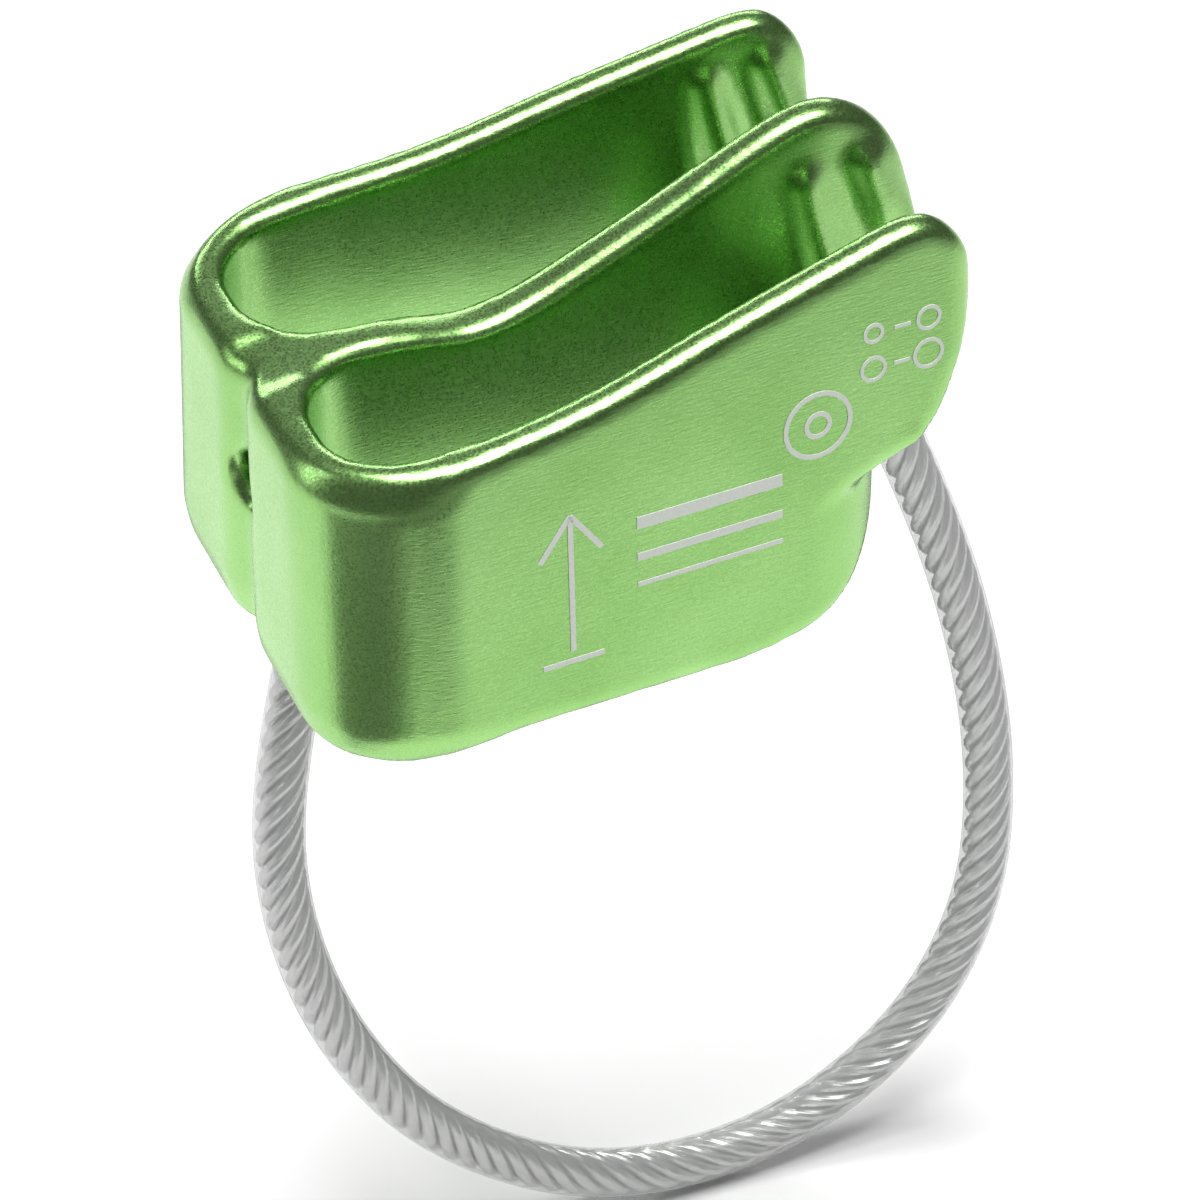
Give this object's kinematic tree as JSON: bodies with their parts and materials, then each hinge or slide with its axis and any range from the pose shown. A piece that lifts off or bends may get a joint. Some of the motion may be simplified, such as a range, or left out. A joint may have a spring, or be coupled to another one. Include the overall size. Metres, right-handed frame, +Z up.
{
  "type": "belay device",
  "caption": "Forged tube-style belay and rappel device: two tapered rope slots with a ribbed brake end, and a plastic-coated wire keeper loop swaged into its underside.",
  "frame": {"origin": "carabiner seat: the underside of the centre web, halfway along the body's bottom, on the centre plane", "axes": "+X from the climber end to the brake end, -Y towards the marked face, +Z up through the rope slots"},
  "size_m": [0.0699, 0.0444, 0.1131],
  "materials": {
    "green_anodised": "brushed and anodised, satin",
    "clear_coat": "clear, glossy",
    "wire_rope": "bright stranded wire",
    "ferrule_steel": "satin"
  },
  "bodies": {
    "device": {"body": "green_anodised", "coat_root_left": "clear_coat", "coat_root_right": "clear_coat", "core_root_left": "wire_rope", "core_root_right": "wire_rope", "ferrule_left": "ferrule_steel", "ferrule_right": "ferrule_steel"},
    "keeper_loop": {"cable_core": "wire_rope", "cable_coat": "clear_coat"}
  },
  "joints": [
    {"name": "loop_sway", "type": "hinge", "parent": "device", "child": "keeper_loop", "pos_m": [-0.022, 0, -0.004], "axis": [0.9378, 0, 0.3472], "range_deg": [-35, 35], "stiffness_Nm_per_rad": 0.03}
  ]
}
